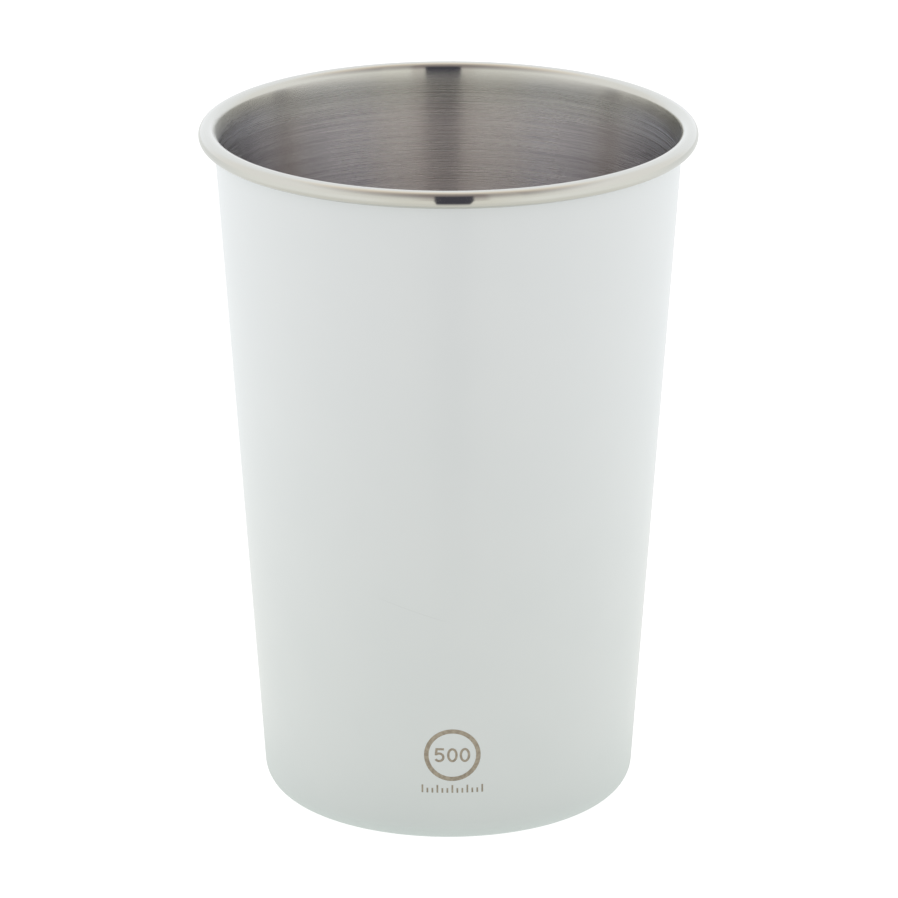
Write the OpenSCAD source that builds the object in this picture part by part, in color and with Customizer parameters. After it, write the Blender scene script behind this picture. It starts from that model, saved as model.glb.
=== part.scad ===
// Drinking cup drawn from one sheet of stainless steel, coated outside.
//
// The origin is the centre of the surface that the cup stands on, and +Z is up. Sizes are in millimetres. Both pieces
// are revolved about Z from sections in the plane of radius and height, where a point is [radius, height].

/* [Cup] */
// Diameter over the rolled rim
rim_d = 88; // [80:1:96]
// Height from the standing surface to the top of the rim
cup_h = 123; // [90:1:150]
// Diameter at which the steel's outer wall, drawn straight on, would meet the standing surface
base_d = 65.6; // [56:0.2:74]
// Thickness of the steel sheet
sheet_t = 0.5; // [0.4:0.05:0.7]

/* [Rolled rim] */
// Diameter of the rolled bead
bead_d = 3.1; // [2.4:0.1:3.4]
// Radius of the gentle bend that leads the wall outwards into the roll, at the steel's outer face
lead_r = 20; // [18:1:30]
// How far that bend turns the wall, in degrees
lead_angle = 8; // [7:1:12]
// Gap between the sheet's free edge, inside the roll, and the coated wall
throat_gap = 0.2; // [0.1:0.05:0.5]

/* [Base] */
// Outer radius of the corner between wall and base
corner_r = 4.6; // [3:0.2:7]
// Width of the flat ring that the cup stands on
foot_w = 2.4; // [1.4:0.1:4]
// Height of the pressed-in base panel above the standing surface
recess_h = 1.6; // [1.2:0.1:2.6]
// Radius of the two bends between the standing ring and the panel, at the underside
bend_r = 1.5; // [0.9:0.1:2]
// Steepness of the slope between those two bends, in degrees
bend_angle = 40; // [30:1:52]

/* [Coat] */
// Thickness of the coat
coat_t = 0.1; // [0.06:0.02:0.2]
// Height of the coat's lower edge above the standing surface
coat_lift = 0.05; // [0.02:0.01:0.3]
// How far the coat reaches up behind the bead, above the bead's lowest point
coat_tuck = 0.3; // [0.2:0.1:1]

/* [Smoothness] */
// Largest turn between two points of a bend, in degrees
arc_step = 5; // [3:1:10]
// Number of sides of a full turn about Z
turn_sides = 180; // [90:10:360]

/* [Hidden] */

steel_colour = [0.72, 0.70, 0.66];
coat_colour = [0.86, 0.88, 0.87];

// The bead is a ring whose round section has its centre here
bead_r = bead_d / 2;
bead_centre = [rim_d / 2 - bead_r, cup_h - bead_r];

// The straight wall leans outwards so that it runs into the gentle bend, and the bend into the bead's round
wall_foot = [base_d / 2, 0];
wall_to_bead = bead_centre - wall_foot;
lead_to_bead = lead_r - bead_r + sheet_t;
bead_reach = lead_r - lead_to_bead * cos(lead_angle);
lean = atan2(wall_to_bead[0], wall_to_bead[1]) - asin(bead_reach / norm(wall_to_bead));
lip_lean = lean + lead_angle;
lead_centre = bead_centre + lead_to_bead * [cos(lip_lean), -sin(lip_lean)];

// The corner's round touches both the wall and the standing surface
corner_centre = [wall_foot[0] - corner_r * (1 - sin(lean)) / cos(lean), corner_r];

// Going inwards from the standing ring the sheet bends up, climbs a slope and bends level again
foot_bend_centre = [corner_centre[0] - foot_w, bend_r];
slope_run = (2 * bend_r * (1 - cos(bend_angle)) + recess_h * cos(bend_angle)) / sin(bend_angle);
panel_bend_centre = [foot_bend_centre[0] - slope_run, recess_h - bend_r];

// The roll stops short of a full turn by the angle that leaves the gap at the coated bend
edge_to_lead = lead_r - coat_t - throat_gap;
free_edge_angle = acos((edge_to_lead ^ 2 - lead_to_bead ^ 2 - bead_r ^ 2) / (2 * lead_to_bead * bead_r));

// The coat ends low on the corner, where its own face is still clear of the standing surface,
// and high on the gentle bend, out of sight behind the bead
coat_low_angle = asin((corner_r - coat_lift) / (corner_r + coat_t));
coat_high_lean = asin((bead_centre[1] - bead_r + coat_tuck - lead_centre[1]) / lead_r);

// Points along an arc about a centre, from one direction to another
function arc(centre, radius, from, to) =
    let (steps = ceil(abs(to - from) / arc_step))
    [for (i = [0:steps])
        let (angle = from + (to - from) * i / steps)
        centre + radius * [cos(angle), sin(angle)]];

// The sheet's section is followed at a depth below the steel's outer face: 0 is that face,
// sheet_t is the face towards the drink, and -coat_t is the face of the coat.

// Underside panel, slope and the inner edge of the standing ring, from the axis outwards
function base_line(depth) = concat(
    [[0, recess_h + depth]],
    arc(panel_bend_centre, bend_r + depth, 90, 90 - bend_angle),
    arc(foot_bend_centre, bend_r - depth, -90 - bend_angle, -90)
);

// The part of the corner below the coat's lower edge, which stays bare
function bare_corner_line(depth) = arc(corner_centre, corner_r - depth, -90, -coat_low_angle);

// The corner, the straight wall and the gentle bend as far as the coat covers them
function coated_line(depth) = concat(
    arc(corner_centre, corner_r - depth, -coat_low_angle, -lean),
    arc(lead_centre, lead_r + depth, 180 - lean, 180 - coat_high_lean)
);

// The rest of the gentle bend, bare and out of sight behind the roll
function bare_lead_line(depth) = arc(lead_centre, lead_r + depth, 180 - coat_high_lean, 180 - lip_lean);

// The roll, from the gentle bend over the top and round to the free edge
function roll_line(depth) =
    arc(bead_centre, bead_r - sheet_t + depth, 180 - lip_lean, free_edge_angle - 180 - lip_lean);

// A line without its first point, to follow on from a line that ends there
function onward(points) = [for (i = [1:len(points) - 1]) points[i]];

function sheet_line(depth) = concat(
    base_line(depth),
    bare_corner_line(depth),
    onward(coated_line(depth)),
    onward(bare_lead_line(depth)),
    onward(roll_line(depth))
);

function backwards(points) = [for (i = [len(points) - 1:-1:0]) points[i]];

// A revolved band between two lines that run the same way
module revolved_band(outer_line, inner_line) {
    rotate_extrude($fn = turn_sides)
        polygon(concat(outer_line, backwards(inner_line)));
}

// Base, wall and rolled rim, one sheet of even thickness
module steel_shell() {
    color(steel_colour)
        revolved_band(sheet_line(0), sheet_line(sheet_t));
}

// Coat from low on the base corner up to the throat of the roll
module powder_coat() {
    color(coat_colour)
        revolved_band(coated_line(-coat_t), coated_line(0));
}

steel_shell();
powder_coat();
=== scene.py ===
import math

import bpy
import numpy as np
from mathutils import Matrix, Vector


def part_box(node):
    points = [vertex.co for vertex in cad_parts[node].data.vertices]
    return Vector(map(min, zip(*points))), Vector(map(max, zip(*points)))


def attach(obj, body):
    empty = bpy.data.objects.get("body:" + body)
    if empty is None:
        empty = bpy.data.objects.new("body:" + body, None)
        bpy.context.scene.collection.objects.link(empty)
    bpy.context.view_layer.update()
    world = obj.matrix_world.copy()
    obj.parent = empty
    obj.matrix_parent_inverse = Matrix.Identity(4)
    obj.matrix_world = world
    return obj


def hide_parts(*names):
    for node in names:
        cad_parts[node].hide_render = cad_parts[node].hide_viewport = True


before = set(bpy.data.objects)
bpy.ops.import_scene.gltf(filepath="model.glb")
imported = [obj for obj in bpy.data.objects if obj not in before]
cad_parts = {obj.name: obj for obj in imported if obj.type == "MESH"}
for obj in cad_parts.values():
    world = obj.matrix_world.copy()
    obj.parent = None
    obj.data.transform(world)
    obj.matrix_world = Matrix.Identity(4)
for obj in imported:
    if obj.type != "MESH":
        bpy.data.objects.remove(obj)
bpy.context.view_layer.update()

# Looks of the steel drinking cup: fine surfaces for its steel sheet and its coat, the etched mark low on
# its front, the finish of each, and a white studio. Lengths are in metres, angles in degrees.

MM = 0.001

# The cup's main sizes, from the frame
rim_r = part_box("steel_shell")[1][0]
cup_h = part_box("steel_shell")[1][2]

# The rest of the sheet's section, as in the part's source
FOOT_R = 32.8 * MM
SHEET_T = 0.5 * MM
BEAD_R = 1.55 * MM
THROAT_GAP = 0.2 * MM
LEAD_R = 20 * MM
LEAD_ANGLE = 8
CORNER_R = 4.6 * MM
STANDING_W = 2.4 * MM
RECESS_H = 1.6 * MM
BEND_R = 1.5 * MM
BEND_ANGLE = 40
COAT_T = 0.1 * MM
COAT_LIFT = 0.05 * MM
COAT_TUCK = 0.3 * MM

# Fineness of the surfaces
SIDES = 360
SEEN_STEP = 4
HIDDEN_STEP = 10
LEAD_STEP = 1
WALL_STEPS = 12
SHARP_ANGLE = 35


# Section of the sheet

bead_centre = np.array([rim_r - BEAD_R, cup_h - BEAD_R])
wall_foot = np.array([FOOT_R, 0])
wall_to_bead = bead_centre - wall_foot
lead_to_bead = LEAD_R - BEAD_R + SHEET_T
bead_reach = LEAD_R - lead_to_bead * math.cos(math.radians(LEAD_ANGLE))
lean = math.degrees(math.atan2(*wall_to_bead) - math.asin(bead_reach / np.linalg.norm(wall_to_bead)))
lip_lean = lean + LEAD_ANGLE
wall_up = np.array([math.sin(math.radians(lean)), math.cos(math.radians(lean))])
lip_out = np.array([math.cos(math.radians(lip_lean)), -math.sin(math.radians(lip_lean))])
lead_centre = bead_centre + lead_to_bead * lip_out
corner_centre = np.array([FOOT_R - CORNER_R * (1 - wall_up[0]) / wall_up[1], CORNER_R])
foot_bend_centre = np.array([corner_centre[0] - STANDING_W, BEND_R])
bend_cos, bend_sin = math.cos(math.radians(BEND_ANGLE)), math.sin(math.radians(BEND_ANGLE))
slope_run = (2 * BEND_R * (1 - bend_cos) + RECESS_H * bend_cos) / bend_sin
panel_bend_centre = np.array([foot_bend_centre[0] - slope_run, RECESS_H - BEND_R])
edge_to_lead = LEAD_R - COAT_T - THROAT_GAP
free_edge_cos = (edge_to_lead ** 2 - lead_to_bead ** 2 - BEAD_R ** 2) / (2 * lead_to_bead * BEAD_R)
free_edge_angle = math.degrees(math.acos(free_edge_cos))
coat_low_angle = math.degrees(math.asin((CORNER_R - COAT_LIFT) / (CORNER_R + COAT_T)))
coat_high_lean = math.degrees(math.asin((bead_centre[1] - BEAD_R + COAT_TUCK - lead_centre[1]) / LEAD_R))


def arc(centre, radius, start, end, step=SEEN_STEP):
    """Points of a round stretch: centre + radius (cos a, sin a), for a from start to end."""
    count = math.ceil(abs(end - start) / step) + 1
    angle = np.radians(np.linspace(start, end, count))
    return centre + radius * np.column_stack([np.cos(angle), np.sin(angle)])


def base_line(depth):
    """The panel, its slope and the standing ring's inner bend, from the axis outwards: a point on the axis and
    two arcs with a straight slope between them, one radius grown and the other shrunk by the depth."""
    return np.vstack([
        [[0, RECESS_H + depth]],
        arc(panel_bend_centre, BEND_R + depth, 90, 90 - BEND_ANGLE),
        arc(foot_bend_centre, BEND_R - depth, -90 - BEND_ANGLE, -90),
    ])


def wall_line(depth, low_angle, high_lean):
    """The corner from low_angle up, the straight wall at even steps, and the bend at its top up to high_lean:
    an arc, a line and an arc that meet without a kink, the arcs' radii changed by the depth."""
    corner = arc(corner_centre, CORNER_R - depth, low_angle, -lean)
    bend = arc(lead_centre, LEAD_R + depth, 180 - lean, 180 - high_lean, LEAD_STEP)
    share = np.linspace(0, 1, WALL_STEPS + 1)[1:, None]
    return np.vstack([corner, corner[-1] + share * (bend[0] - corner[-1]), bend[1:]])


def roll_line(depth, step):
    """The roll, as an arc about the bead's centre from the wall over the top and round to the free edge."""
    return arc(bead_centre, BEAD_R - SHEET_T + depth, 180 - lip_lean, free_edge_angle - 180 - lip_lean, step)


def sheet_line(depth, roll_step):
    """One face of the sheet from the axis to the free edge; depth 0 is outside and SHEET_T is inside."""
    return np.vstack([base_line(depth), wall_line(depth, -90, lip_lean), roll_line(depth, roll_step)[1:]])


# Meshes

def mesh_piece(name, points, faces, finish):
    """An object at the origin, its place in its mesh, smooth but for edges sharper than SHARP_ANGLE."""
    mesh = bpy.data.meshes.new(name)
    mesh.from_pydata(points, [], faces)
    mesh.validate()
    mesh.shade_smooth()
    mesh.set_sharp_from_angle(angle=math.radians(SHARP_ANGLE))
    mesh.materials.append(finish)
    piece = bpy.data.objects.new(name, mesh)
    bpy.context.scene.collection.objects.link(piece)
    return piece


def revolved(name, section, finish):
    """A solid of revolution: the point (r, z) goes round Z as (r cos t, r sin t, z). A section that starts and
    ends on the axis is closed by two poles, any other is joined end to start. The attribute section_run
    holds the length along the section from its highest point."""
    run = np.append(0, np.cumsum(np.linalg.norm(np.diff(section, axis=0), axis=1)))
    run -= run[np.argmax(section[:, 1])]
    poles = section[0, 0] == 0
    ring_points, ring_run = (section[1:-1], run[1:-1]) if poles else (section, run)
    turn = np.arange(SIDES) * (2 * math.pi / SIDES)
    r, z = ring_points[:, :1], ring_points[:, 1:]
    rings = np.stack([r * np.cos(turn), r * np.sin(turn), z + 0 * turn], axis=-1).reshape(-1, 3)

    count = len(ring_points)
    low = np.arange(count - 1 if poles else count)[:, None] * SIDES
    high = (low + SIDES) % (count * SIDES)
    side = np.arange(SIDES)
    after = (side + 1) % SIDES
    quads = np.stack([low + side, low + after, high + after, high + side], axis=-1).reshape(-1, 4)
    points, faces, values = rings, quads.tolist(), np.repeat(ring_run, SIDES)
    if poles:
        first, last = len(rings), len(rings) + 1
        end = len(rings) - SIDES
        points = np.vstack([rings, [[0, 0, section[0, 1]], [0, 0, section[-1, 1]]]])
        faces += np.stack([first + 0 * side, after, side], axis=-1).tolist()
        faces += np.stack([last + 0 * side, end + side, end + after], axis=-1).tolist()
        values = np.append(values, [run[0], run[-1]])
    piece = mesh_piece(name, points, faces, finish)
    piece.data.attributes.new("section_run", "FLOAT", "POINT").data.foreach_set("value", values)
    return piece


# Finishes

class Nodes:
    """Adds nodes to one tree. An input is set by its name or number, to a value or to the output that feeds it."""

    def __init__(self, tree):
        self.tree = tree

    def join(self, node, inputs):
        for socket, value in inputs.items():
            if isinstance(value, bpy.types.NodeSocket):
                self.tree.links.new(value, node.inputs[socket])
            else:
                node.inputs[socket].default_value = value

    def add(self, kind, inputs, output=0, **settings):
        node = self.tree.nodes.new("ShaderNode" + kind)
        for setting, value in settings.items():
            setattr(node, setting, value)
        self.join(node, inputs)
        return node.outputs[output]

    def math(self, operation, *values):
        return self.add("Math", dict(enumerate(values)), operation=operation)

    def product(self, first, *others):
        for other in others:
            first = self.math("MULTIPLY", first, other)
        return first

    def vector(self, operation, *values):
        output = 1 if operation in ("LENGTH", "DOT_PRODUCT") else 0
        return self.add("VectorMath", dict(enumerate(values)), output, operation=operation)

    def fade(self, value, start, end, low=0.0, high=1.0):
        """low up to start, high from end on, and a soft step between. With start above end it runs downwards."""
        inputs = {"Value": value, "From Min": start, "From Max": end, "To Min": low, "To Max": high}
        return self.add("MapRange", inputs, interpolation_type="SMOOTHSTEP")

    def between(self, value, rise, fall):
        """1 in a stretch and 0 outside it, with a soft step up over rise and a soft step down over fall."""
        return self.product(self.fade(value, *rise), self.fade(value, *fall))

    def noise(self, place, size, detail=2.0, roughness=0.5):
        """Noise with features of about this size."""
        inputs = {"Vector": place, "Scale": 1 / size, "Detail": detail, "Roughness": roughness}
        return self.add("TexNoise", inputs)

    def blend(self, share, first, second):
        """The colour first, turning to second as share goes from 0 to 1."""
        node = self.tree.nodes.new("ShaderNodeMix")
        node.data_type = "RGBA"
        places = {socket.identifier: i for i, socket in enumerate(node.inputs)}
        self.join(node, {places["Factor_Float"]: share, places["A_Color"]: first, places["B_Color"]: second})
        return next(socket for socket in node.outputs if socket.identifier == "Result_Color")

    def bump(self, height, depth):
        """A relief of this depth in metres, from a height between 0 and 1."""
        return self.add("Bump", {"Height": height, "Distance": depth})

    def parts(self, vector, axes):
        """The parts of a vector along these axes, one output for each."""
        return [self.add("SeparateXYZ", {"Vector": vector}, axis) for axis in axes]

    def bearing(self, x, y):
        """The angle round Z of a direction, 0 straight ahead of the cup and positive to its right."""
        return self.math("DEGREES", self.math("ARCTAN2", x, self.math("MULTIPLY", y, -1)))

    def narrowed(self, bearing, level):
        """A bearing divided by 1 - NARROWING + NARROWING / level, where level is the level share of a direction
        of length 1. What lies between two such values looks as wide high up as low down in the rim."""
        spread = self.math("ADD", 1 - NARROWING, self.math("DIVIDE", NARROWING, level))
        return self.math("DIVIDE", bearing, spread)

    def object_place(self):
        return self.add("TexCoord", {}, "Object")

    def section_run(self):
        return self.add("Attribute", {}, "Fac", attribute_name="section_run")


def new_finish(name, **shader_values):
    """A material whose shader has these uniform values, the nodes to build it with, and its shader."""
    material = bpy.data.materials.new(name)
    material.use_nodes = True
    nodes = Nodes(material.node_tree)
    shader = material.node_tree.nodes["Principled BSDF"]
    nodes.join(shader, {socket.replace("_", " "): value for socket, value in shader_values.items()})
    return material, nodes, shader


# Steel. A run is a length along the section from the top of the bead, positive on the inside, and a place
# across is positive to the right. A pair gives where a soft step starts and where it ends.

# Where the polish turns to brushing, inside and on the outer face past the roll
BRUSHED_INSIDE = 0.5 * MM, 6.5 * MM
BRUSHED_OUTSIDE = -7 * MM, -8 * MM

# Marks of the brushing: length round the cup in radians, distance apart along the section, and shift
HAIRS = 0.7, 0.13 * MM, 0
LINES = 1.6, 0.45 * MM, 40
BANDS = 1.3, 3.5 * MM, 90
HAIR_LEVELS = 0.42, 0.58

# Roughness of the polish and of the brushing, and how much each kind of mark changes it
POLISH_ROUGH, POLISH_LINES = 0.085, 0.05
BRUSH_ROUGH, BRUSH_HAIRS, BRUSH_LINES, BRUSH_BANDS = 0.2515, 0.0435, 0.04, 0.03

# At the left the brushing is calmer by this much
CALM_ACROSS = -20 * MM, -34 * MM
CALM_HAIRS, CALM_LINES = -0.022, -0.015

# Where the wall is seen at a slant its gloss is sharper
SLANT_RISE, SLANT_FALL = (0.0, 0.2), (0.8, 0.35)
SLANT_RUN = 6 * MM, 11 * MM
SLANT_ROUGH = -0.045

# Where the bead's inner flank is seen at a slant its gloss is softer, most at the left
FLANK_RISE, FLANK_FALL = (0.5 * MM, 1.1 * MM), (6 * MM, 2 * MM)
FLANK_SLANT = 0.3, 0.95
FLANK_ACROSS = 5 * MM, -38 * MM
FLANK_ROUGH = 0.05, 0.22

# Tones of the polish and of the brushing high on the wall, low on it, deep down and at both sides. The lighter
# tones low on the wall and deep down are painted bounced light, and the bluish tone at both sides is a painted
# reflection.
POLISH_TONE = (0.625, 0.62, 0.58, 1)
HIGH_TONE = (0.605, 0.60, 0.555, 1)
LOW_BOUNCE_LIT_TONE = (0.745, 0.71, 0.69, 1)
DEEP_BOUNCE_LIT_TONE = (0.69, 0.655, 0.64, 1)
SIDE_REFLECTION_TONE = (0.63, 0.64, 0.71, 1)
LOW_BOUNCE_LIT_RUN = 4 * MM, 12 * MM
DEEP_BOUNCE_LIT_RUN = 12 * MM, 24 * MM
SIDE_REFLECTION_ACROSS = 27 * MM, 40 * MM
SIDE_REFLECTION_RUN = 1.5 * MM, 6 * MM

# How much lighter the brushing's pale streaks are, and the sum of lines and hairs that makes one
STREAK_LIFT = 0.06
STREAK_LEVELS = 0.75, 1.25

BRUSH_DEPTH = 0.0003 * MM


def round_marks(nodes, length, pitch, shift):
    """Noise drawn out round the cup: features about length radians long and pitch metres apart on the section."""
    direction = nodes.vector("NORMALIZE", nodes.vector("MULTIPLY", nodes.object_place(), (1, 1, 0)))
    step = nodes.math("MULTIPLY_ADD", nodes.section_run(), 1 / pitch, shift)
    along = nodes.add("CombineXYZ", {"Z": step})
    return nodes.noise(nodes.vector("MULTIPLY_ADD", direction, (1 / length,) * 3, along), 1)


def streaked(nodes, streak, tone):
    """A tone that grows lighter by STREAK_LIFT where streak is 1."""
    pale = (*(part + STREAK_LIFT for part in tone[:3]), 1)
    return nodes.blend(streak, tone, pale)


def steel_gloss(nodes, run, across, brushing, hairs, lines, bands):
    """Roughness of the steel: of the polish, turning to that of the brushing and its marks, and then changed
    where the wall and the bead's inner flank are seen at a slant."""
    calm = nodes.fade(across, *CALM_ACROSS)
    hair_share = nodes.math("MULTIPLY_ADD", calm, CALM_HAIRS, BRUSH_HAIRS)
    line_share = nodes.math("MULTIPLY_ADD", calm, CALM_LINES, BRUSH_LINES)
    brushed = nodes.math("MULTIPLY_ADD", bands, BRUSH_BANDS, BRUSH_ROUGH)
    brushed = nodes.math("MULTIPLY_ADD", nodes.fade(hairs, *HAIR_LEVELS, -1.0, 1.0), hair_share, brushed)
    brushed = nodes.math("MULTIPLY_ADD", nodes.math("SUBTRACT", lines, 0.5), line_share, brushed)
    slant = nodes.add("LayerWeight", {"Blend": 0.5}, "Facing")
    aslant = nodes.product(nodes.between(slant, SLANT_RISE, SLANT_FALL), nodes.fade(run, *SLANT_RUN))
    brushed = nodes.math("MULTIPLY_ADD", aslant, SLANT_ROUGH, brushed)
    polished = nodes.math("MULTIPLY_ADD", lines, POLISH_LINES, POLISH_ROUGH)
    gloss = nodes.math("MULTIPLY_ADD", nodes.math("SUBTRACT", brushed, polished), brushing, polished)
    flank = nodes.product(nodes.between(run, FLANK_RISE, FLANK_FALL), nodes.fade(slant, *FLANK_SLANT))
    return nodes.math("MULTIPLY_ADD", flank, nodes.fade(across, *FLANK_ACROSS, *FLANK_ROUGH), gloss)


def steel_tone(nodes, run, across, brushing, hairs, lines):
    """Colour of the steel: of the polish, turning to that of the brushing, which changes down the wall and at both
    sides and is streaked all over. The lighter brushing down the wall is painted bounced light, and the bluish
    brushing at both sides is a painted reflection."""
    streak = nodes.fade(nodes.math("ADD", lines, hairs), *STREAK_LEVELS)
    high, low, deep, side = (streaked(nodes, streak, tone) for tone in (HIGH_TONE, LOW_BOUNCE_LIT_TONE, DEEP_BOUNCE_LIT_TONE, SIDE_REFLECTION_TONE))
    # Painted bounced light: the brushing grows lighter low on the wall and deep down.
    wall = nodes.blend(nodes.fade(run, *LOW_BOUNCE_LIT_RUN), high, low)
    wall = nodes.blend(nodes.fade(run, *DEEP_BOUNCE_LIT_RUN), wall, deep)
    # Painted reflection: the brushing turns bluish at both sides.
    beside = nodes.product(nodes.fade(nodes.math("ABSOLUTE", across), *SIDE_REFLECTION_ACROSS), nodes.fade(run, *SIDE_REFLECTION_RUN))
    wall = nodes.blend(beside, wall, side)
    return nodes.blend(brushing, POLISH_TONE, wall)


def brushed_steel():
    """Stainless steel, polished over the bead and brushed round from a little way below it. A quarter turn of
    the anisotropy lays the highlight across the brushing."""
    material, nodes, shader = new_finish(
        "brushed_steel", Metallic=1.0, Anisotropic=1.0, Anisotropic_Rotation=0.25)
    run = nodes.section_run()
    across = nodes.parts(nodes.object_place(), "X")[0]
    brushing = nodes.math("MAXIMUM", nodes.fade(run, *BRUSHED_INSIDE), nodes.fade(run, *BRUSHED_OUTSIDE))
    hairs, lines, bands = (round_marks(nodes, *marks) for marks in (HAIRS, LINES, BANDS))
    nodes.join(shader, {
        "Base Color": steel_tone(nodes, run, across, brushing, hairs, lines),
        "Roughness": steel_gloss(nodes, run, across, brushing, hairs, lines, bands),
        "Normal": nodes.bump(nodes.product(lines, brushing), BRUSH_DEPTH),
        "Tangent": nodes.add("Tangent", {}, direction_type="RADIAL", axis="Z"),
    })
    return material


# Coat. Its tone is darker at the foot and lighter and bluer at the top, which is painted light and shade.
COAT_SHADED_FOOT_TONE = (0.695, 0.735, 0.738, 1)
COAT_LIT_TOP_TONE = (0.755, 0.784, 0.806, 1)
CLOUD_TONE = (0.90, 0.90, 0.90, 1)
CLOUD_SIZE = 14 * MM
CLOUD_LEVELS = 0.3, 0.7
CLOUD_SHARE = 0.05
DIMPLE_SIZE = 0.9 * MM
DIMPLE_DEPTH = 0.005 * MM
COAT_ROUGH, DIMPLE_ROUGH = 0.27, 0.02

# A faint scratch on the coat's front: its height straight ahead, its fall for each degree round, the bearings
# over which it starts and ends, how its grey grows from its edge to its middle, and how much of it is grey
SCRATCH_H = 42.8 * MM
SCRATCH_FALL = -0.198 * MM
SCRATCH_START, SCRATCH_END = (-21, -16), (1, -4)
SCRATCH_EDGE = 0.14 * MM, 0.02 * MM
SCRATCH_SHARE = 0.09
SCRATCH_TONE = (0.35, 0.35, 0.35, 1)


def satin_coat():
    """White powder coat: satin, with the fine dimples of cured powder, a faint cloudiness and a scratch, and
    painted light and shade that make it lighter at the top and darker at the foot.
    """
    material, nodes, shader = new_finish("satin_coat", IOR=1.45)
    place = nodes.object_place()
    x, y, z = nodes.parts(place, "XYZ")
    dimples = nodes.noise(place, DIMPLE_SIZE, 3.0, 0.55)
    cloud = nodes.fade(nodes.noise(place, CLOUD_SIZE), *CLOUD_LEVELS, 0.0, CLOUD_SHARE)
    # Painted light and shade: the coat is lighter and bluer towards the top and darker at the foot.
    tone = nodes.blend(nodes.fade(z, 0, cup_h), COAT_SHADED_FOOT_TONE, COAT_LIT_TOP_TONE)
    tone = nodes.blend(cloud, tone, CLOUD_TONE)
    bearing = nodes.bearing(x, y)
    line_h = nodes.math("MULTIPLY_ADD", bearing, SCRATCH_FALL, SCRATCH_H)
    off_line = nodes.math("ABSOLUTE", nodes.math("SUBTRACT", z, line_h))
    scratch = nodes.product(nodes.between(bearing, SCRATCH_START, SCRATCH_END),
                            nodes.fade(off_line, *SCRATCH_EDGE, 0.0, SCRATCH_SHARE))
    nodes.join(shader, {
        "Base Color": nodes.blend(scratch, tone, SCRATCH_TONE),
        "Roughness": nodes.math("MULTIPLY_ADD", dimples, DIMPLE_ROUGH, COAT_ROUGH),
        "Normal": nodes.bump(dimples, DIMPLE_DEPTH),
    })
    return material


# Etched steel
ETCH_DARK = (0.30, 0.26, 0.21, 1)
ETCH_PALE = (0.42, 0.37, 0.30, 1)
ETCH_SIZE = 0.6 * MM
ETCH_LEVELS = 0.3, 0.7
ETCH_DEPTH = 0.004 * MM
ETCH_ROUGH, ETCH_PATCHES = 0.25, 0.15


def etched_steel():
    """Steel laid bare through the coat: dull, brown-grey and slightly uneven."""
    material, nodes, shader = new_finish("etched_steel", Metallic=1.0)
    patches = nodes.noise(nodes.object_place(), ETCH_SIZE, 3.0)
    nodes.join(shader, {
        "Base Color": nodes.blend(nodes.fade(patches, *ETCH_LEVELS), ETCH_DARK, ETCH_PALE),
        "Roughness": nodes.math("MULTIPLY_ADD", patches, ETCH_PATCHES, ETCH_ROUGH),
        "Normal": nodes.bump(patches, ETCH_DEPTH),
    })
    return material


# The etched mark: a ring with plain numbers in it, and a short scale under it

MARK_CENTRE = (0.7 * MM, 17.3 * MM)
MARK_RING_R = 4.6 * MM
MARK_RING_W = 0.8 * MM
MARK_RING_STEP = 4
DIGIT_W = 1.45 * MM
DIGIT_H = 2.3 * MM
DIGIT_GAP = 0.55 * MM
DIGIT_LINE = 0.42 * MM
DIGIT_STEP = 12
FIVE_BOWL_R = 0.32 * DIGIT_H
FIVE_BOWL_START, FIVE_BOWL_END = 128, -150
SCALE_FOOT = 10.0 * MM
SCALE_MARKS = 12
LONG_EVERY = 3
SCALE_W = 10.6 * MM
SCALE_LINE = 0.3 * MM
SCALE_LONG = 1.5 * MM
SCALE_SHORT = 0.9 * MM
MARK_PROUD = 0.012 * MM
MARK_SUNK = 0.04 * MM


def on_coat(flat, lift):
    """Lays flat points (distance round, height) on the coat's cone, a lift above it: the angle from the front
    is the distance divided by the radius there."""
    radius = FOOT_R + flat[:, 1] * wall_up[0] / wall_up[1] + COAT_T / wall_up[1]
    angle = flat[:, 0] / radius
    reach = radius + lift * wall_up[1]
    height = flat[:, 1] - lift * wall_up[0]
    return np.column_stack([reach * np.sin(angle), -reach * np.cos(angle), height])


def stroke(path, width, closed=False):
    """A flat bar along a path, as points and faces: each path point gives four corners, half the width to each
    side along the mitre and then out and in, and neighbouring sets of four are joined."""
    path = np.asarray(path, float)
    ahead = np.roll(path, -1, axis=0) - path
    ahead /= np.linalg.norm(ahead, axis=1)[:, None]
    behind = np.roll(ahead, 1, axis=0)
    if not closed:
        ahead[-1] = behind[-1]
        behind[0] = ahead[0]
    left_ahead = np.column_stack([-ahead[:, 1], ahead[:, 0]])
    left_behind = np.column_stack([-behind[:, 1], behind[:, 0]])
    mitre = (left_ahead + left_behind) / (1 + np.sum(left_ahead * left_behind, axis=1))[:, None]
    left, right = path + mitre * width / 2, path - mitre * width / 2
    corners = [on_coat(left, MARK_PROUD), on_coat(right, MARK_PROUD),
               on_coat(right, -MARK_SUNK), on_coat(left, -MARK_SUNK)]
    points = np.stack(corners, axis=1).reshape(-1, 3)
    here = np.arange(len(path) if closed else len(path) - 1)[:, None] * 4
    there = (here + 4) % len(points)
    corner = np.arange(4)
    beside = (corner + 1) % 4
    quads = np.stack([here + corner, here + beside, there + beside, there + corner], axis=-1).reshape(-1, 4)
    ends = [] if closed else [[3, 2, 1, 0], [len(points) - 4 + i for i in range(4)]]
    return points, quads.tolist() + ends


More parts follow.
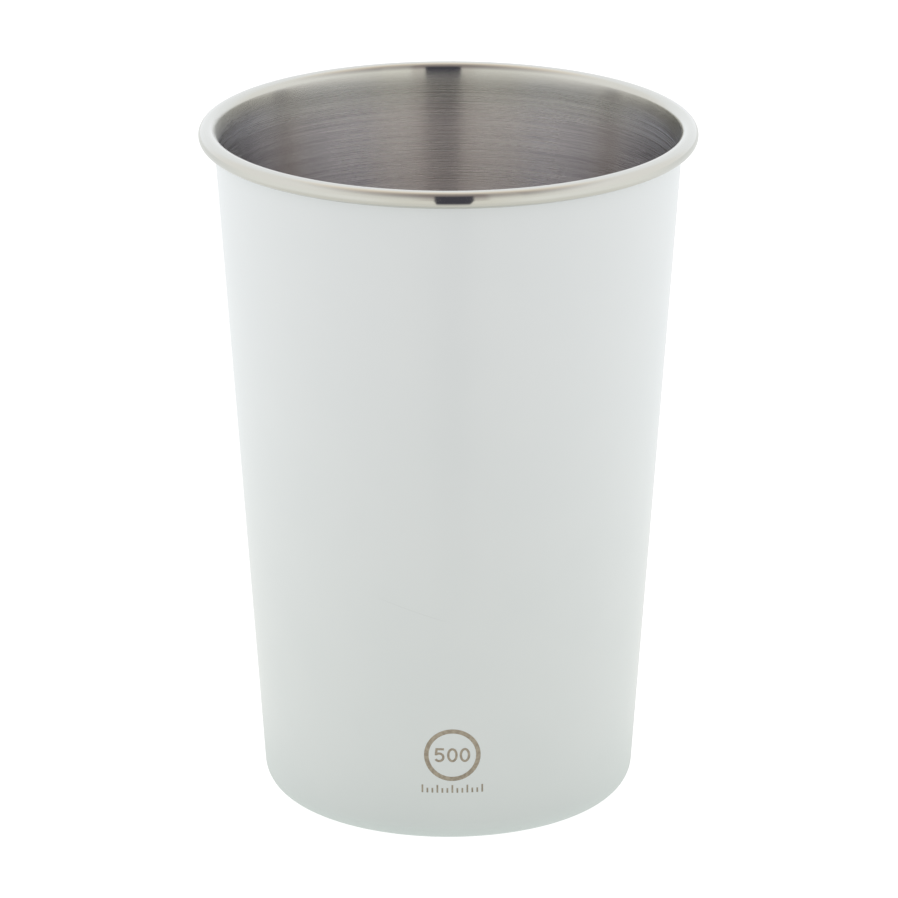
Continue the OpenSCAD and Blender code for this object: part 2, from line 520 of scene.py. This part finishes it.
def digit_five(left, foot):
    """The path of a 5: a bar from the right, a stem that leans a little, and a bowl that is most of a circle."""
    bowl_centre = np.array([left + DIGIT_W - 1.15 * FIVE_BOWL_R, foot + FIVE_BOWL_R])
    bowl = arc(bowl_centre, FIVE_BOWL_R, FIVE_BOWL_START, FIVE_BOWL_END, DIGIT_STEP)
    stem = [[left + DIGIT_W, foot + DIGIT_H], [left + 0.1 * DIGIT_W, foot + DIGIT_H]]
    return np.vstack([stem, [[left + 0.03 * DIGIT_W, bowl[0, 1]]], bowl])


def digit_nought(left, foot):
    """The path of a 0: a closed oval, as wide and as high as a digit, (W/2 (1 + cos t), H/2 (1 + sin t))."""
    turn = np.radians(np.arange(0, 360, DIGIT_STEP))
    return np.column_stack([
        left + DIGIT_W / 2 * (1 + np.cos(turn)),
        foot + DIGIT_H / 2 * (1 + np.sin(turn)),
    ])


def etched_mark(finish):
    """All the strokes of the mark as one piece, each a closed bar of its own."""
    centre = np.array(MARK_CENTRE)
    step = DIGIT_W + DIGIT_GAP + DIGIT_LINE / 2
    left = centre[0] - step - DIGIT_W / 2
    foot = centre[1] - DIGIT_H / 2
    strokes = [
        stroke(arc(centre, MARK_RING_R, 0, 360 - MARK_RING_STEP, MARK_RING_STEP), MARK_RING_W, closed=True),
        stroke(digit_five(left, foot), DIGIT_LINE),
        stroke(digit_nought(left + step, foot), DIGIT_LINE, closed=True),
        stroke(digit_nought(left + 2 * step, foot), DIGIT_LINE, closed=True),
    ]
    for i in range(SCALE_MARKS + 1):
        across = centre[0] + SCALE_W * (i / SCALE_MARKS - 0.5)
        top = SCALE_FOOT + (SCALE_LONG if i % LONG_EVERY == 0 else SCALE_SHORT)
        strokes.append(stroke([[across, SCALE_FOOT], [across, top]], SCALE_LINE))
    points, faces = [], []
    for bar_points, bar_faces in strokes:
        start = sum(map(len, points))
        points.append(bar_points)
        faces += [[start + corner for corner in face] for face in bar_faces]
    return mesh_piece("etched_mark", np.vstack(points), faces, finish)


# Studio

# The picture that the camera matches
PHOTO_SIDE = 898
FOCAL_PIXELS = 6148.9
AXIS_PIXEL = 448.396
CAMERA_DISTANCE = 1.1
CAMERA_TILT = 18.569
AIM_H = 62.7 * MM
SENSOR_W = 36

# The light tent. A bearing is counted from straight ahead of the cup, and a height from the level. A pair
# gives where a soft step starts and where it ends.
TENT_AHEAD = (0.925, 0.92, 0.875, 1)
TENT_SIDE = (1.06, 1.055, 1.045, 1)
TENT_BACK = (1.115, 1.145, 1.19, 1)
TENT_CREAM = (1.30, 1.17, 1.00, 1)
SIDE_BEARING = 14, 80
BACK_BEARING = 120, 150
CREAM_HEIGHT = 45, 76

# A grey patch high in front: its middle, and how far from it the patch ends
GREY_TONE = (0.31, 0.286, 0.292, 1)
GREY_BEARING, GREY_HEIGHT = 7.5, 66
GREY_REACH = 62

# A brighter panel to the right of the opening, and brownish curtains on both sides of it
PANEL_TONE = (1.20, 1.18, 1.08, 1)
PANEL_LEFT, PANEL_RIGHT = (16, 20), (35, 32)
PANEL_SHARE = 0.16
CURTAIN_TONE = (0.38, 0.30, 0.28, 1)
CURTAIN_LEFT, CURTAIN_RIGHT = (-19, -7), (20, 16)
CURTAIN_SHARE = 0.3

# The tent's dark opening, how much its sides draw together with height, and where it starts on the table
SLOT_TONE = (0.080, 0.078, 0.098, 1)
SLOT_LEFT, SLOT_RIGHT = (-6.7, -5.7), (11.8, 10.8)
SLOT_TOP = 68, 50
SLOT_START = -0.23, -0.07
NARROWING = 0.49

# The table's glow: near the cup, where a painted shadow and painted half shade dim it, further off, and how these
# change with distance and bearing
TABLE_PAINTED_SHADOW = (0.60, 0.64, 0.60, 1)
TABLE_PAINTED_HALF_SHADE = (0.87, 0.87, 0.83, 1)
TABLE_AHEAD = (0.96, 0.95, 0.89, 1)
TABLE_SIDE = (1.05, 1.06, 1.04, 1)
TABLE_BEHIND = (0.92, 0.94, 0.94, 1)
PAINTED_SHADE_DISTANCE = 0.03, 0.065
FAR_DISTANCE = 0.09, 0.23
TABLE_SIDE_BEARING = 15, 45
TABLE_BEHIND_BEARING = 90, 135
TABLE_DROP = 0.01 * MM

# The paper under the cup: its own tone, and how brightly it shines
PAPER_TONE = (0.4, 0.4, 0.4, 1)
PAPER_SHINE = 0.85

FLOOR_HALF = 4.0


def photo_camera():
    """The camera as the photograph was taken: its distance, tilt and lens."""
    data = bpy.data.cameras.new("photo_camera")
    data.sensor_width = SENSOR_W
    data.lens = FOCAL_PIXELS * SENSOR_W / PHOTO_SIDE
    data.shift_x = 0.5 - AXIS_PIXEL / PHOTO_SIDE
    camera = bpy.data.objects.new("photo_camera", data)
    tilt = math.radians(CAMERA_TILT)
    camera.location = (0, -CAMERA_DISTANCE * math.cos(tilt), AIM_H + CAMERA_DISTANCE * math.sin(tilt))
    camera.rotation_euler = (math.pi / 2 - tilt, 0, 0)
    bpy.context.scene.collection.objects.link(camera)
    bpy.context.scene.camera = camera


def studio_light():
    """A white light tent all round, bluish behind the cup and cream overhead, with a soft grey patch high in
    front. Straight ahead it has a dark upright opening between brownish curtains, and a brighter panel to the
    right of it."""
    world = bpy.data.worlds.new("light_tent")
    world.use_nodes = True
    bpy.context.scene.world = world
    nodes = Nodes(world.node_tree)
    direction = nodes.add("TexCoord", {}, "Generated")
    x, y, z = nodes.parts(direction, "XYZ")
    height = nodes.math("DEGREES", nodes.math("ARCSINE", z))
    level = nodes.math("SQRT", nodes.math("SUBTRACT", 1, nodes.product(z, z)))
    bearing = nodes.bearing(x, y)
    aside = nodes.math("ABSOLUTE", bearing)
    ahead = nodes.narrowed(bearing, level)

    tent = nodes.blend(nodes.fade(aside, *SIDE_BEARING), TENT_AHEAD, TENT_SIDE)
    tent = nodes.blend(nodes.fade(aside, *BACK_BEARING), tent, TENT_BACK)
    tent = nodes.blend(nodes.fade(height, *CREAM_HEIGHT), tent, TENT_CREAM)
    turn, rise = math.radians(GREY_BEARING), math.radians(GREY_HEIGHT)
    grey_centre = (math.sin(turn) * math.cos(rise), -math.cos(turn) * math.cos(rise), math.sin(rise))
    off_centre = nodes.math("DEGREES", nodes.math("ARCCOSINE", nodes.vector("DOT_PRODUCT", direction, grey_centre)))
    tent = nodes.blend(nodes.fade(off_centre, GREY_REACH, 0), tent, GREY_TONE)
    panel = nodes.product(nodes.between(ahead, PANEL_LEFT, PANEL_RIGHT), PANEL_SHARE)
    tent = nodes.blend(panel, tent, PANEL_TONE)
    curtain = nodes.product(nodes.between(ahead, CURTAIN_LEFT, CURTAIN_RIGHT), CURTAIN_SHARE)
    tent = nodes.blend(curtain, tent, CURTAIN_TONE)
    slot = nodes.product(nodes.between(ahead, SLOT_LEFT, SLOT_RIGHT), nodes.fade(height, *SLOT_TOP))
    background = world.node_tree.nodes["Background"]
    nodes.join(background, {"Color": nodes.blend(slot, tent, SLOT_TONE), "Strength": 1.0})


def floor_sheet(name, finish, height):
    """A level square about the origin."""
    corners = [(x, y, height) for x, y in ((-1, -1), (1, -1), (1, 1), (-1, 1))]
    points = [(x * FLOOR_HALF, y * FLOOR_HALF, z) for x, y, z in corners]
    sheet = mesh_piece(name, points, [[0, 1, 2, 3]], finish)
    return sheet


def glowing_table():
    """A white table that glows with its own light: dimmer close to the cup, where its glow holds a painted shadow,
    brighter further off, and dark along the tent's opening, whose bearing is counted from the front of the rim."""
    material, nodes, shader = new_finish("glowing_table", Roughness=1.0)
    place = nodes.object_place()
    x, y = nodes.parts(place, "XY")
    distance = nodes.vector("LENGTH", place)
    aside = nodes.math("ABSOLUTE", nodes.bearing(x, y))
    far = nodes.blend(nodes.fade(aside, *TABLE_SIDE_BEARING), TABLE_AHEAD, TABLE_SIDE)
    far = nodes.blend(nodes.fade(aside, *TABLE_BEHIND_BEARING), far, TABLE_BEHIND)
    # Painted shadow: the table's glow is dimmer under the cup and close to it.
    painted_shade = nodes.blend(nodes.fade(distance, *PAINTED_SHADE_DISTANCE), TABLE_PAINTED_SHADOW, TABLE_PAINTED_HALF_SHADE)
    white = nodes.blend(nodes.fade(distance, *FAR_DISTANCE), painted_shade, far)
    from_rim = nodes.vector("SUBTRACT", place, (0, -rim_r, cup_h))
    along = nodes.vector("LENGTH", nodes.vector("MULTIPLY", from_rim, (1, 1, 0)))
    level = nodes.math("DIVIDE", along, nodes.vector("LENGTH", from_rim))
    ahead = nodes.narrowed(nodes.bearing(x, nodes.math("ADD", y, rim_r)), level)
    begun = nodes.fade(y, *SLOT_START, 1.0, 0.0)
    slot = nodes.product(nodes.between(ahead, SLOT_LEFT, SLOT_RIGHT), begun)
    nodes.join(shader, {
        "Base Color": (0, 0, 0, 1),
        "Specular IOR Level": 0.0,
        "Emission Color": nodes.blend(slot, white, SLOT_TONE),
        "Emission Strength": 1.0,
    })
    material.cycles.emission_sampling = "NONE"
    return material


def white_paper():
    """Paper so bright that it looks white all over, with the least hint of a shadow under the cup."""
    material, nodes, shader = new_finish("white_paper", Roughness=0.9)
    nodes.join(shader, {"Base Color": PAPER_TONE, "Emission Color": (1, 1, 1, 1), "Emission Strength": PAPER_SHINE})
    material.cycles.emission_sampling = "NONE"
    return material


def studio_floor():
    """A white floor for the eye, and a glowing table, with a painted shadow near the cup, that throws light on the
    cup and shows in its steel.
    """
    seen = floor_sheet("paper_floor", white_paper(), 0)
    seen.visible_diffuse = seen.visible_glossy = seen.visible_shadow = False
    table = floor_sheet("table_top", glowing_table(), -TABLE_DROP)
    table.visible_camera = table.visible_shadow = False


photo_camera()
bpy.context.scene.view_settings.view_transform = "Standard"
studio_light()
studio_floor()

steel = revolved(
    "steel_cup", np.vstack([sheet_line(0, HIDDEN_STEP), sheet_line(SHEET_T, SEEN_STEP)[::-1]]), brushed_steel())
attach(steel, "root")
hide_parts("steel_shell")

coat_outer = wall_line(-COAT_T, -coat_low_angle, coat_high_lean)
coat_inner = wall_line(0, -coat_low_angle, coat_high_lean)
coat = revolved("coat_film", np.vstack([coat_outer, coat_inner[::-1]]), satin_coat())
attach(coat, "root")
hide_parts("powder_coat")

mark = etched_mark(etched_steel())
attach(mark, "root")
